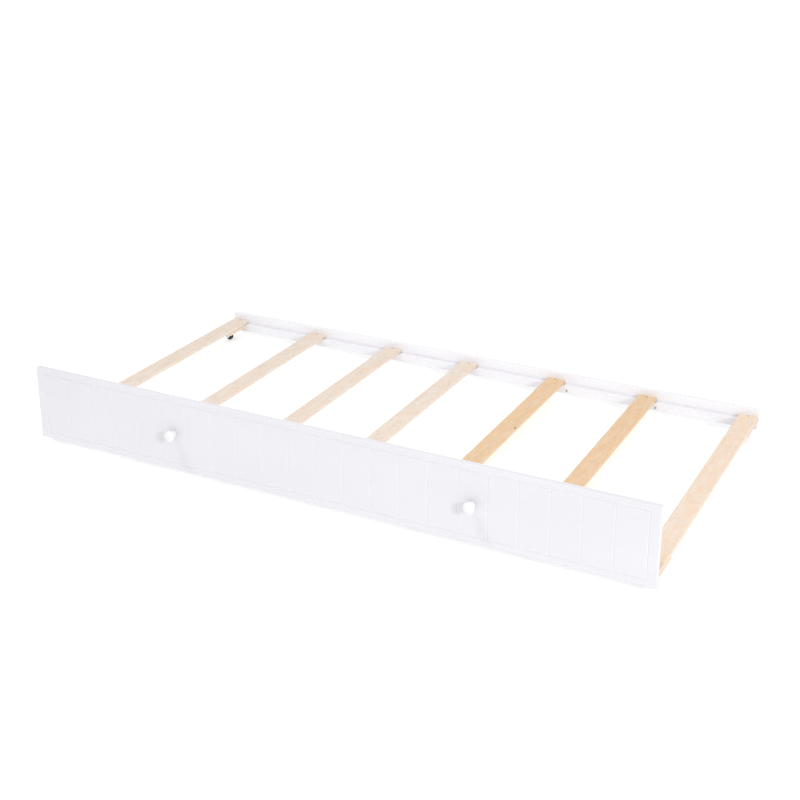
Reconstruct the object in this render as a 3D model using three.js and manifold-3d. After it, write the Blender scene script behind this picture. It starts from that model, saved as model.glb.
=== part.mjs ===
// A twin-size trundle bed: a low slatted frame on four small swivel casters, with a
// grooved front panel and two pull knobs.
//
// Frame: millimetres, +X to the right along the length, +Y to the back, +Z up.
// The origin is on the floor, in the middle of the whole object's plan.
import * as THREE from 'three';
import { mergeVertices } from 'three/addons/utils/BufferGeometryUtils.js';
import Module from 'manifold-3d';

const wasm = await Module();
wasm.setup();

// ---- driving dimensions ----------------------------------------------------------

// overall
const FRAME_LENGTH = 1905;     // front panel, rail and cleats, along X
const FRAME_DEPTH = 1058;      // face of the front panel to the back of the rear rail

// front panel
const PANEL_HEIGHT = 224;
const PANEL_THICKNESS = 18;
const EDGE_CHAMFER = 1.2;      // eased edges of the painted boards
const GROOVE_BORDER_SIDE = 27; // panel end to the middle of the border groove
const GROOVE_BORDER_TOP = 19;  // panel top or bottom to the middle of the border groove
const PLANK_COUNT = 22;        // planks between the two ends of the border groove
const BORDER_GROOVE_WIDTH = 4.4;
const BORDER_GROOVE_DEPTH = 2.6;
const PLANK_GROOVE_WIDTH = 3.8; // narrower and shallower than the border groove
const PLANK_GROOVE_DEPTH = 2.2;

// rear rail and the cleats that carry the slats
const RAIL_HEIGHT = 57;
const RAIL_THICKNESS = 18;
const CLEAT_HEIGHT = 25;
const CLEAT_THICKNESS = 18;

// slats
const SLAT_WIDTH = 58;
const SLAT_THICKNESS = 12;
const SLAT_ROUNDING = 2;       // rounded long edges of a slat
const SLAT_END_INSET = 2.5;    // end of the frame to the outer edge of the end slats
// how far each slat is fixed off its even place, left to right
const SLAT_SHIFTS = [0, 15, 8, -13, -11, -11, 0];

// slat screws: one countersunk screw in each end of a slat
const SLAT_SCREW_HEAD = 7;     // head diameter
const SLAT_SCREW_SHANK = 3.5;  // shank diameter
const SLAT_SCREW_LENGTH = 30;
const SLAT_SCREW_SINK = 0.6;   // head top below the slat's face
const DRIVE_RECESS_WIDTH = 3;  // cross recess, arm length tip to tip
const DRIVE_RECESS_DEPTH = 1.2;

// knobs
const KNOB_PLANK = 6;          // a knob sits on the sixth plank from each end
const KNOB_HEAD = 32;          // head diameter
const KNOB_NECK = 14;          // neck diameter
const KNOB_FOOT = 20;          // foot diameter, on the panel
const KNOB_REACH = 30;         // panel face to the front of the knob
const KNOB_SCREW_SHANK = 4;
const KNOB_SCREW_HEAD = 9;
const KNOB_SCREW_HEAD_HEIGHT = 2.6;
const KNOB_SCREW_BITE = 14;    // length of the screw inside the knob

// caster blocks, under the ends of the two end slats
const BLOCK_LENGTH = 96;
const BLOCK_THICKNESS = 10;

// casters
const PLATE_LENGTH = 42;       // along Y
const PLATE_WIDTH = 36;
const PLATE_THICKNESS = 2;
const PLATE_CORNER = 5;
const PLATE_HOLE = 4.4;
const PLATE_HOLE_INSET = 6;
const WHEEL_DIAMETER = 26;
const WHEEL_WIDTH = 12;
const HUB_DIAMETER = 16;
const TYRE_SHOULDER = 2;       // rounding at the sides of the tread
const WHEEL_TRAIL = 9;         // swivel axis to wheel axis, towards -X
const FORK_THICKNESS = 1.8;
const FORK_CROWN = 28;         // diameter of the fork's round crown
const FORK_LEG_TOP = 22;       // leg length at the crown, along X
const FORK_LEG_END = 5.5;      // radius of the leg around the axle
const SWIVEL_GAP = 1.2;        // fork crown to plate, where the ball race sits
const WHEEL_HEADROOM = 2.2;    // top of the wheel to the kingpin's head
const KINGPIN_DIAMETER = 6;
const KINGPIN_HEAD = 10;
const KINGPIN_HEAD_HEIGHT = 1.2;
const AXLE_DIAMETER = 4;
const AXLE_HEAD = 7;
const AXLE_HEAD_HEIGHT = 1.2;

// clearances
const FIT = 0.3;               // between pieces that touch or are cut by each other
const RUN = 0.6;               // beside the turning wheel

// sides of the round pieces
const SCREW_SIDES = 12;
const PIN_SIDES = 16;
const WHEEL_SIDES = 28;
const KNOB_SIDES = 28;

// ---- places that follow from the sizes -------------------------------------------

const DEPTH_OVERALL = FRAME_DEPTH + KNOB_REACH;
const FACE_Y = -DEPTH_OVERALL / 2 + KNOB_REACH;       // front of the panel
const BACK_Y = FACE_Y + FRAME_DEPTH;                  // back of the rear rail
const PANEL_BACK_Y = FACE_Y + PANEL_THICKNESS;
const RAIL_FRONT_Y = BACK_Y - RAIL_THICKNESS;
const FRONT_CLEAT_Y = PANEL_BACK_Y + FIT + CLEAT_THICKNESS / 2;
const REAR_CLEAT_Y = RAIL_FRONT_Y - FIT - CLEAT_THICKNESS / 2;

// the casters set the heights: wheel, kingpin, fork, plate, block, slat
const AXLE_Z = WHEEL_DIAMETER / 2;
const CROWN_BOTTOM_Z = WHEEL_DIAMETER + WHEEL_HEADROOM + KINGPIN_HEAD_HEIGHT + FIT;
const CROWN_TOP_Z = CROWN_BOTTOM_Z + FORK_THICKNESS;
const PLATE_BOTTOM_Z = CROWN_TOP_Z + SWIVEL_GAP;
const PLATE_TOP_Z = PLATE_BOTTOM_Z + PLATE_THICKNESS;
const BLOCK_BOTTOM_Z = PLATE_TOP_Z + FIT;
const BLOCK_TOP_Z = BLOCK_BOTTOM_Z + BLOCK_THICKNESS;
const SLAT_BOTTOM_Z = BLOCK_TOP_Z + FIT;
const SLAT_TOP_Z = SLAT_BOTTOM_Z + SLAT_THICKNESS;
const CLEAT_TOP_Z = SLAT_BOTTOM_Z - FIT;
const FRAME_BOTTOM_Z = CLEAT_TOP_Z - CLEAT_HEIGHT;    // 20 mm off the floor
const PANEL_MIDDLE_Z = FRAME_BOTTOM_Z + PANEL_HEIGHT / 2;

const SLAT_LENGTH = RAIL_FRONT_Y - PANEL_BACK_Y - 2 * FIT;
const SLAT_Y = (RAIL_FRONT_Y + PANEL_BACK_Y) / 2;
const OUTER_SLAT_X = FRAME_LENGTH / 2 - SLAT_END_INSET - SLAT_WIDTH / 2;
const SLAT_XS = SLAT_SHIFTS.map((shift, i) =>
  -OUTER_SLAT_X + (2 * OUTER_SLAT_X * i) / (SLAT_SHIFTS.length - 1) + shift);

const BLOCK_FRONT_Y = FRONT_CLEAT_Y + CLEAT_THICKNESS / 2 + FIT + BLOCK_LENGTH / 2;
const BLOCK_REAR_Y = REAR_CLEAT_Y - CLEAT_THICKNESS / 2 - FIT - BLOCK_LENGTH / 2;

const FORK_INSIDE = WHEEL_WIDTH + 2 * RUN;            // between the fork's legs
const FORK_OUTSIDE = FORK_INSIDE + 2 * FORK_THICKNESS;

// ---- materials -------------------------------------------------------------------

const finish = (color, roughness, metalness) =>
  new THREE.MeshStandardMaterial({ color, roughness, metalness });
const PAINT = finish(0xf4f4f7, 0.42, 0);
const WOOD = finish(0xdcb98c, 0.6, 0);
const ZINC = finish(0xb9bcc0, 0.35, 1);
const SCREW_STEEL = finish(0x8d8a80, 0.4, 1);
const BLACK_RUBBER = finish(0x1b1b1c, 0.85, 0);
const HUB_PLASTIC = finish(0x2a2a2c, 0.5, 0);

// ---- solids ----------------------------------------------------------------------

const bed = new THREE.Group();

function addNode(name, geometry, material, x, y, z) {
  const node = new THREE.Mesh(geometry, material);
  node.name = name;
  node.position.set(x, y, z);
  bed.add(node);
}

function toSolid(geometry) {
  const bare = geometry.clone();
  bare.deleteAttribute('normal');
  bare.deleteAttribute('uv');
  const merged = mergeVertices(bare, 1e-4);
  return new wasm.Manifold(new wasm.Mesh({
    numProp: 3,
    vertProperties: new Float32Array(merged.attributes.position.array),
    triVerts: new Uint32Array(merged.index.array),
  }));
}

function toGeometry(solid) {
  const mesh = solid.getMesh();
  const geometry = new THREE.BufferGeometry();
  geometry.setAttribute('position', new THREE.BufferAttribute(mesh.vertProperties, 3));
  geometry.setIndex(new THREE.BufferAttribute(mesh.triVerts, 1));
  geometry.computeVertexNormals();
  return geometry;
}

const cut = (geometry, tools) =>
  toGeometry(tools.reduce((solid, tool) => solid.subtract(toSolid(tool)), toSolid(geometry)));

const join = (geometries) =>
  toGeometry(geometries.slice(1).reduce((solid, g) => solid.add(toSolid(g)), toSolid(geometries[0])));

// a flat outline in X and Y, extruded up Z and centred on Z
function slab(shape, height, curveSegments = 6) {
  const geometry = new THREE.ExtrudeGeometry(shape, { depth: height, bevelEnabled: false, curveSegments });
  return geometry.translate(0, 0, -height / 2);
}

// a rectangle with chamfered or rounded corners
function rectangle(width, height, corner, rounded) {
  const [w, h] = [width / 2, height / 2];
  const shape = new THREE.Shape();
  const corners = [[1, -1], [1, 1], [-1, 1], [-1, -1]];
  corners.forEach(([sx, sy], i) => {
    const alongX = [sx * (w - corner), sy * h];
    const alongY = [sx * w, sy * (h - corner)];
    const [start, end] = i % 2 === 0 ? [alongX, alongY] : [alongY, alongX];
    if (i === 0) shape.moveTo(...start);
    else shape.lineTo(...start);
    if (rounded) shape.quadraticCurveTo(sx * w, sy * h, ...end);
    else shape.lineTo(...end);
  });
  shape.closePath();
  return shape;
}

// a board that runs along X, with its long edges eased
const boardAlongX = (length, depth, height) =>
  slab(rectangle(depth, height, EDGE_CHAMFER, false), length)
    .rotateX(Math.PI / 2).rotateZ(Math.PI / 2);

// a stick that runs along Y, with its long edges rounded
const stickAlongY = (width, length, thickness, rounding) =>
  slab(rectangle(width, thickness, rounding, true), length, 3).rotateX(Math.PI / 2);

// a round piece turned about Z from [radius, height] points, bottom to top
const turned = (points, sides) =>
  new THREE.LatheGeometry(points.map(([r, z]) => new THREE.Vector2(r, z)), sides)
    .rotateX(Math.PI / 2);

// a plain round rod about Z, centred on Z
const rod = (diameter, length, sides) =>
  new THREE.CylinderGeometry(diameter / 2, diameter / 2, length, sides).rotateX(Math.PI / 2);

// ---- front panel: one board with routed V grooves --------------------------------

const FIELD_WIDTH = FRAME_LENGTH - 2 * GROOVE_BORDER_SIDE;    // between border grooves
const FIELD_HEIGHT = PANEL_HEIGHT - 2 * GROOVE_BORDER_TOP;
const PLANK_WIDTH = FIELD_WIDTH / PLANK_COUNT;
const KNOB_X = FIELD_WIDTH / 2 - (KNOB_PLANK - 0.5) * PLANK_WIDTH;

// a V cutter along Z that stops on the bottom lines of the border groove; it is twice
// the groove's size, so that only its lower half is in the board
function plankCutter() {
  return slab(new THREE.Shape([
    new THREE.Vector2(-PLANK_GROOVE_WIDTH, -PLANK_GROOVE_DEPTH),
    new THREE.Vector2(PLANK_GROOVE_WIDTH, -PLANK_GROOVE_DEPTH),
    new THREE.Vector2(0, PLANK_GROOVE_DEPTH),
  ]), FIELD_HEIGHT);
}

// the border's V cutter: three rectangular loops, inner, bottom line and outer, joined
// into one ring with mitred corners
function borderCutter() {
  const loops = [[-BORDER_GROOVE_WIDTH, -BORDER_GROOVE_DEPTH], [0, BORDER_GROOVE_DEPTH],
    [BORDER_GROOVE_WIDTH, -BORDER_GROOVE_DEPTH]];
  const corners = [[-1, -1], [1, -1], [1, 1], [-1, 1]];
  const points = loops.flatMap(([out, y]) => corners.flatMap(([sx, sz]) =>
    [sx * (FIELD_WIDTH / 2 + out), y, sz * (FIELD_HEIGHT / 2 + out)]));
  const index = [];
  for (let loop = 0; loop < 3; loop += 1) {
    for (let corner = 0; corner < 4; corner += 1) {
      const [a, b] = [loop * 4 + corner, loop * 4 + ((corner + 1) % 4)];
      const [c, d] = [(a + 4) % 12, (b + 4) % 12];
      index.push(a, b, c, b, d, c);
    }
  }
  const ring = new THREE.BufferGeometry();
  ring.setAttribute('position', new THREE.Float32BufferAttribute(points, 3));
  ring.setIndex(index);
  return ring;
}

function frontPanel() {
  const grooves = [borderCutter()];
  for (let i = 1; i < PLANK_COUNT; i += 1) {
    grooves.push(plankCutter().translate(-FIELD_WIDTH / 2 + i * PLANK_WIDTH, 0, 0));
  }
  const onFace = grooves.map((groove) => groove.translate(0, -PANEL_THICKNESS / 2, 0));
  const holes = [-1, 1].map((side) =>
    rod(KNOB_SCREW_SHANK + 2 * FIT, PANEL_THICKNESS * 2, PIN_SIDES).rotateX(Math.PI / 2)
      .translate(side * KNOB_X, 0, 0));
  const board = boardAlongX(FRAME_LENGTH, PANEL_THICKNESS, PANEL_HEIGHT);
  return cut(board, [...onFace, ...holes]);
}
addNode('front_panel', frontPanel(), PAINT, 0, FACE_Y + PANEL_THICKNESS / 2, PANEL_MIDDLE_Z);

// ---- rear rail and cleats --------------------------------------------------------

const screwReach = SLAT_SCREW_LENGTH + SLAT_SCREW_SINK - SLAT_THICKNESS; // inside a cleat

// the cleat has a pilot hole under every slat screw
function cleat() {
  const holes = SLAT_XS.map((x) =>
    rod(SLAT_SCREW_SHANK + 2 * FIT, 2 * (screwReach + FIT), SCREW_SIDES)
      .translate(x, 0, CLEAT_HEIGHT / 2));
  return cut(boardAlongX(FRAME_LENGTH, CLEAT_THICKNESS, CLEAT_HEIGHT), holes);
}
const CLEAT_Z = FRAME_BOTTOM_Z + CLEAT_HEIGHT / 2;
addNode('front_cleat', cleat(), PAINT, 0, FRONT_CLEAT_Y, CLEAT_Z);
addNode('rear_cleat', cleat(), PAINT, 0, REAR_CLEAT_Y, CLEAT_Z);
addNode('rear_rail', boardAlongX(FRAME_LENGTH, RAIL_THICKNESS, RAIL_HEIGHT), PAINT,
  0, BACK_Y - RAIL_THICKNESS / 2, FRAME_BOTTOM_Z + RAIL_HEIGHT / 2);

// ---- slats and their screws ------------------------------------------------------

const screwHeadHeight = (SLAT_SCREW_HEAD - SLAT_SCREW_SHANK) / 2; // a 90 degree head

// turned outline of a slat screw, its head's top at z = 0, grown by a clearance
function screwOutline(grow) {
  const [head, shank] = [SLAT_SCREW_HEAD / 2 + grow, SLAT_SCREW_SHANK / 2 + grow];
  return [[0, -SLAT_SCREW_LENGTH - grow], [shank, -SLAT_SCREW_LENGTH + SLAT_SCREW_SHANK],
    [shank, -screwHeadHeight], [head, 0]];
}

function slatScrew() {
  const body = turned([...screwOutline(0), [0, 0]], SCREW_SIDES);
  const arm = () => new THREE.BoxGeometry(DRIVE_RECESS_WIDTH, DRIVE_RECESS_WIDTH / 4,
    2 * DRIVE_RECESS_DEPTH);
  return cut(body, [arm(), arm().rotateZ(Math.PI / 2)]);
}

function slat() {
  const stick = stickAlongY(SLAT_WIDTH, SLAT_LENGTH, SLAT_THICKNESS, SLAT_ROUNDING);
  const headTop = SLAT_THICKNESS / 2 - SLAT_SCREW_SINK;
  const head = SLAT_SCREW_HEAD / 2 + FIT;
  const sockets = [-1, 1].map((end) =>
    turned([...screwOutline(FIT), [head, SLAT_THICKNESS], [0, SLAT_THICKNESS]], SCREW_SIDES)
      .translate(0, end * (REAR_CLEAT_Y - SLAT_Y), headTop));
  return cut(stick, sockets);
}

SLAT_XS.forEach((x, i) => {
  addNode(`slat_${i + 1}`, slat(), WOOD, x, SLAT_Y, SLAT_BOTTOM_Z + SLAT_THICKNESS / 2);
  const screwTop = SLAT_TOP_Z - SLAT_SCREW_SINK;
  addNode(`slat_screw_front_${i + 1}`, slatScrew(), SCREW_STEEL, x, FRONT_CLEAT_Y, screwTop);
  addNode(`slat_screw_rear_${i + 1}`, slatScrew(), SCREW_STEEL, x, REAR_CLEAT_Y, screwTop);
});

// ---- knobs and their screws ------------------------------------------------------

// turned about Y: the outline starts on the panel and ends at the domed front
function knob() {
  const [head, neck, foot] = [KNOB_HEAD / 2, KNOB_NECK / 2, KNOB_FOOT / 2];
  const outline = new THREE.Path();
  outline.moveTo(0, FIT);
  outline.lineTo(foot, FIT);
  outline.lineTo(foot, KNOB_REACH * 0.06);
  outline.quadraticCurveTo(neck, KNOB_REACH * 0.1, neck, KNOB_REACH * 0.3);
  outline.quadraticCurveTo(neck, KNOB_REACH * 0.45, head * 0.8, KNOB_REACH * 0.5);
  outline.quadraticCurveTo(head, KNOB_REACH * 0.54, head, KNOB_REACH * 0.66);
  outline.quadraticCurveTo(head, KNOB_REACH * 0.86, head * 0.6, KNOB_REACH * 0.96);
  outline.quadraticCurveTo(head * 0.3, KNOB_REACH, 0, KNOB_REACH);
  const body = turned(outline.getPoints(4).map((p) => [p.x, p.y]), KNOB_SIDES);
  const bore = rod(KNOB_SCREW_SHANK + 2 * FIT, 2 * (KNOB_SCREW_BITE + FIT), PIN_SIDES);
  return toGeometry(toSolid(body).subtract(toSolid(bore))).rotateX(Math.PI / 2);
}

// the head bears on the back of the panel, and the shank runs forward into the knob
function knobScrew() {
  const [shank, head] = [KNOB_SCREW_SHANK / 2, KNOB_SCREW_HEAD / 2];
  const length = PANEL_THICKNESS + FIT + KNOB_SCREW_BITE;
  const body = turned([[0, -KNOB_SCREW_HEAD_HEIGHT], [head * 0.6, -KNOB_SCREW_HEAD_HEIGHT],
    [head, -KNOB_SCREW_HEAD_HEIGHT * 0.4], [head, 0], [shank, 0], [shank, length], [0, length]],
  PIN_SIDES);
  const slot = new THREE.BoxGeometry(KNOB_SCREW_HEAD * 0.6, 1, KNOB_SCREW_HEAD_HEIGHT)
    .translate(0, 0, -KNOB_SCREW_HEAD_HEIGHT);
  return cut(body, [slot, slot.clone().rotateZ(Math.PI / 2)]).rotateX(Math.PI / 2);
}

for (const [side, sign] of [['left', -1], ['right', 1]]) {
  const x = sign * KNOB_X;
  addNode(`knob_${side}`, knob(), PAINT, x, FACE_Y, PANEL_MIDDLE_Z);
  addNode(`knob_screw_${side}`, knobScrew(), SCREW_STEEL, x, PANEL_BACK_Y + FIT, PANEL_MIDDLE_Z);
}

// ---- casters ---------------------------------------------------------------------

function casterPlate() {
  const plate = slab(rectangle(PLATE_WIDTH, PLATE_LENGTH, PLATE_CORNER, true), PLATE_THICKNESS);
  const holes = [rod(KINGPIN_DIAMETER + 2 * FIT, PLATE_THICKNESS * 2, PIN_SIDES)];
  for (const sx of [-1, 1]) {
    for (const sy of [-1, 1]) {
      holes.push(rod(PLATE_HOLE, PLATE_THICKNESS * 2, SCREW_SIDES).translate(
        sx * (PLATE_WIDTH / 2 - PLATE_HOLE_INSET), sy * (PLATE_LENGTH / 2 - PLATE_HOLE_INSET), 0));
    }
  }
  return cut(plate, holes);
}

// the kingpin is riveted over: a head below the crown, its top flush in the plate
function kingpin() {
  const [pin, head] = [KINGPIN_DIAMETER / 2, KINGPIN_HEAD / 2];
  const under = CROWN_BOTTOM_Z - FIT;
  return turned([[0, under - KINGPIN_HEAD_HEIGHT], [head * 0.7, under - KINGPIN_HEAD_HEIGHT],
    [head, under], [pin, under], [pin, PLATE_TOP_Z], [0, PLATE_TOP_Z]], PIN_SIDES);
}

// a leg is a plate in X and Z that narrows from the crown down to the axle
function forkLeg() {
  const drop = CROWN_TOP_Z - AXLE_Z;
  const leg = new THREE.Shape();
  leg.moveTo(FORK_LEG_TOP / 2, drop);
  leg.lineTo(-FORK_LEG_TOP / 2, drop);
  leg.lineTo(-WHEEL_TRAIL - FORK_LEG_END, 0);
  leg.absarc(-WHEEL_TRAIL, 0, FORK_LEG_END, Math.PI, 2 * Math.PI, false);
  leg.closePath();
  return slab(leg, FORK_THICKNESS).rotateX(Math.PI / 2);
}

function fork() {
  const crown = rod(FORK_CROWN, FORK_THICKNESS, WHEEL_SIDES)
    .translate(0, 0, CROWN_TOP_Z - FORK_THICKNESS / 2);
  const legs = [-1, 1].map((side) =>
    forkLeg().translate(0, side * (FORK_INSIDE + FORK_THICKNESS) / 2, AXLE_Z));
  const pinHole = rod(KINGPIN_DIAMETER + 2 * FIT, FORK_THICKNESS * 4, PIN_SIDES)
    .translate(0, 0, CROWN_TOP_Z);
  const axleHole = rod(AXLE_DIAMETER + 2 * FIT, FORK_OUTSIDE * 2, PIN_SIDES)
    .rotateX(Math.PI / 2).translate(-WHEEL_TRAIL, 0, AXLE_Z);
  return cut(join([crown, ...legs]), [pinHole, axleHole]);
}

// a rivet along Y with a head outside each leg
function axle() {
  const [pin, head] = [AXLE_DIAMETER / 2, AXLE_HEAD / 2];
  const inside = FORK_OUTSIDE / 2 + FIT;
  const outside = inside + AXLE_HEAD_HEIGHT;
  return turned([[0, -outside], [head * 0.7, -outside], [head, -inside], [pin, -inside],
    [pin, inside], [head, inside], [head * 0.7, outside], [0, outside]], PIN_SIDES)
    .rotateX(Math.PI / 2);
}

// the hub is dished between its bearing boss and its rim
function hub() {
  const [rim, bore, half] = [HUB_DIAMETER / 2, AXLE_DIAMETER / 2 + FIT, WHEEL_WIDTH / 2];
  const [boss, lip, dish] = [bore + 1.8, rim - 1.4, half - 2];
  return turned([[bore, -half], [boss, -half], [boss, -dish], [lip, -dish], [lip, -half],
    [rim, -half], [rim, half], [lip, half], [lip, dish], [boss, dish], [boss, half],
    [bore, half], [bore, -half]], PIN_SIDES).rotateX(Math.PI / 2);
}

function tyre() {
  const [tread, bore, half] = [WHEEL_DIAMETER / 2, HUB_DIAMETER / 2 + FIT, WHEEL_WIDTH / 2];
  const outline = new THREE.Path();
  outline.moveTo(bore, -half);
  outline.lineTo(tread - TYRE_SHOULDER, -half);
  outline.quadraticCurveTo(tread, -half, tread, -half + TYRE_SHOULDER);
  outline.lineTo(tread, half - TYRE_SHOULDER);
  outline.quadraticCurveTo(tread, half, tread - TYRE_SHOULDER, half);
  outline.lineTo(bore, half);
  outline.lineTo(bore, -half);
  return turned(outline.getPoints(2).map((p) => [p.x, p.y]), WHEEL_SIDES).rotateX(Math.PI / 2);
}

for (const [end, y] of [['front', BLOCK_FRONT_Y], ['rear', BLOCK_REAR_Y]]) {
  for (const [side, x] of [['left', -OUTER_SLAT_X], ['right', OUTER_SLAT_X]]) {
    const corner = `${end}_${side}`;
    addNode(`caster_block_${corner}`,
      stickAlongY(SLAT_WIDTH, BLOCK_LENGTH, BLOCK_THICKNESS, EDGE_CHAMFER), WOOD,
      x, y, BLOCK_BOTTOM_Z + BLOCK_THICKNESS / 2);
    addNode(`caster_plate_${corner}`, casterPlate(), ZINC, x, y,
      PLATE_BOTTOM_Z + PLATE_THICKNESS / 2);
    addNode(`caster_kingpin_${corner}`, kingpin(), ZINC, x, y, 0);
    addNode(`caster_fork_${corner}`, fork(), ZINC, x, y, 0);
    addNode(`caster_axle_${corner}`, axle(), ZINC, x - WHEEL_TRAIL, y, AXLE_Z);
    addNode(`wheel_hub_${corner}`, hub(), HUB_PLASTIC, x - WHEEL_TRAIL, y, AXLE_Z);
    addNode(`wheel_tyre_${corner}`, tyre(), BLACK_RUBBER, x - WHEEL_TRAIL, y, AXLE_Z);
  }
}

export default bed;
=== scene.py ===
"""The looks of a white trundle bed with bare wooden slats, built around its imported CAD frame."""

import math

import bmesh
import bpy
from mathutils import Matrix, Vector


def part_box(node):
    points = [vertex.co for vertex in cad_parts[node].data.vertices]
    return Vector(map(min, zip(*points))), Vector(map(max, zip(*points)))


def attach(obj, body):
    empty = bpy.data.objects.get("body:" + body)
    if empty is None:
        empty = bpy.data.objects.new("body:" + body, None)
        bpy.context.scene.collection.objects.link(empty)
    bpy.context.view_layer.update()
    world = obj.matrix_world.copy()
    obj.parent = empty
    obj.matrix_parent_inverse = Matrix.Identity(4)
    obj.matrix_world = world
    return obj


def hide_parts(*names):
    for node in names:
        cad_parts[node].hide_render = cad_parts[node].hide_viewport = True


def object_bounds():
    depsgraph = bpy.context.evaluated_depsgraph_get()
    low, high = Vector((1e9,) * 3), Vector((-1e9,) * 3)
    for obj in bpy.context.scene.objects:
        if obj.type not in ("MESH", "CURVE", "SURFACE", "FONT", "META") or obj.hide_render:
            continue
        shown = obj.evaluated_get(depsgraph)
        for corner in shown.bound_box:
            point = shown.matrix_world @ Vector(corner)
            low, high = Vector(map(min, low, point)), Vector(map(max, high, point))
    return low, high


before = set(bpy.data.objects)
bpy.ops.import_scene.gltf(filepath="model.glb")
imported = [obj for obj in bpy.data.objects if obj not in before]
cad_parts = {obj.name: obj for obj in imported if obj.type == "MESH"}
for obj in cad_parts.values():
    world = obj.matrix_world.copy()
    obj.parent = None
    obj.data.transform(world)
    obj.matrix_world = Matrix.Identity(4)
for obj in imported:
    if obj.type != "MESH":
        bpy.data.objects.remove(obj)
cad_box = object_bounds()
scene = bpy.context.scene

MM = 0.001
CORNERS = ("front_left", "front_right", "rear_left", "rear_right")


# ---- camera, floor and light -----------------------------------------------------

CAMERA_PLACE = (1.7178, -3.3665, 1.7939)
CAMERA_AZIMUTH = 27.11          # degrees round to the right of straight on
CAMERA_DOWN = 19.62             # degrees below level
CAMERA_LENS = 61.73             # mm, on a 36 mm sensor
CAMERA_SHIFT = -0.125           # the view reaches further down than up
CAMERA_REACH = 200.0            # metres, past the floor's far edge

FLOOR_SIZE = 80.0               # metres along each side
FLOOR_COLOUR = (0.74, 0.74, 0.74)
FLOOR_GLOW = 0.41               # lifts the floor to the white of a studio sweep

SKY = 0.74                      # strength of the plain white sky all round
SUN_PLACE = (0, 0, 3)           # where the suns' objects stand, which changes nothing in their light
# each sun: the direction it is seen in from the bed, its strength and its width in degrees
SUNS = {
    "overhead": ((0.10, -0.14, 1.0), 0.10, 70),
    "high_left": ((-0.39, -0.24, 0.89), 0.90, 6),
}
# each lamp: its place, the point that it faces, its size in metres and its power
LAMPS = {
    "key": ((7.20, -4.60, 3.60), (0, -0.5, 0.12), (1.1, 1.1), 320),
    "inner": ((0, -0.40, 1.55), (0, 0.52, 0.06), (2.6, 0.5), 5),
}


def make_camera():
    """The view that the photograph was taken from, fitted to the bed's corners and edges."""
    data = bpy.data.cameras.new("camera")
    data.lens = CAMERA_LENS
    data.shift_y = CAMERA_SHIFT
    data.clip_end = CAMERA_REACH
    camera = bpy.data.objects.new("camera", data)
    camera.location = CAMERA_PLACE
    camera.rotation_euler = (math.radians(90 - CAMERA_DOWN), 0, math.radians(CAMERA_AZIMUTH))
    scene.collection.objects.link(camera)
    scene.camera = camera


def add_lamp(name, kind, place, towards):
    """A lamp that faces along a direction."""
    lamp = bpy.data.objects.new(name, bpy.data.lights.new(name, kind))
    lamp.location = place
    lamp.rotation_mode = "QUATERNION"
    lamp.rotation_quaternion = Vector(towards).to_track_quat("-Z", "Y")
    scene.collection.objects.link(lamp)
    return lamp.data


def make_light():
    """A plain white sky, two suns and two lamps, with the colours shown as they are."""
    world = bpy.data.worlds.new("studio")
    world.use_nodes = True
    background = world.node_tree.nodes["Background"]
    background.inputs["Color"].default_value = (1, 1, 1, 1)
    background.inputs["Strength"].default_value = SKY
    scene.world = world
    for name, (seen, strength, width) in SUNS.items():
        sun = add_lamp(name, "SUN", SUN_PLACE, -Vector(seen))
        sun.energy = strength
        sun.angle = math.radians(width)
    for name, (place, target, size, power) in LAMPS.items():
        lamp = add_lamp(name, "AREA", place, Vector(target) - Vector(place))
        lamp.shape = "RECTANGLE"
        lamp.size, lamp.size_y = size
        lamp.energy = power
    scene.view_settings.view_transform = "Standard"


# ---- node graphs -----------------------------------------------------------------

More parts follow.
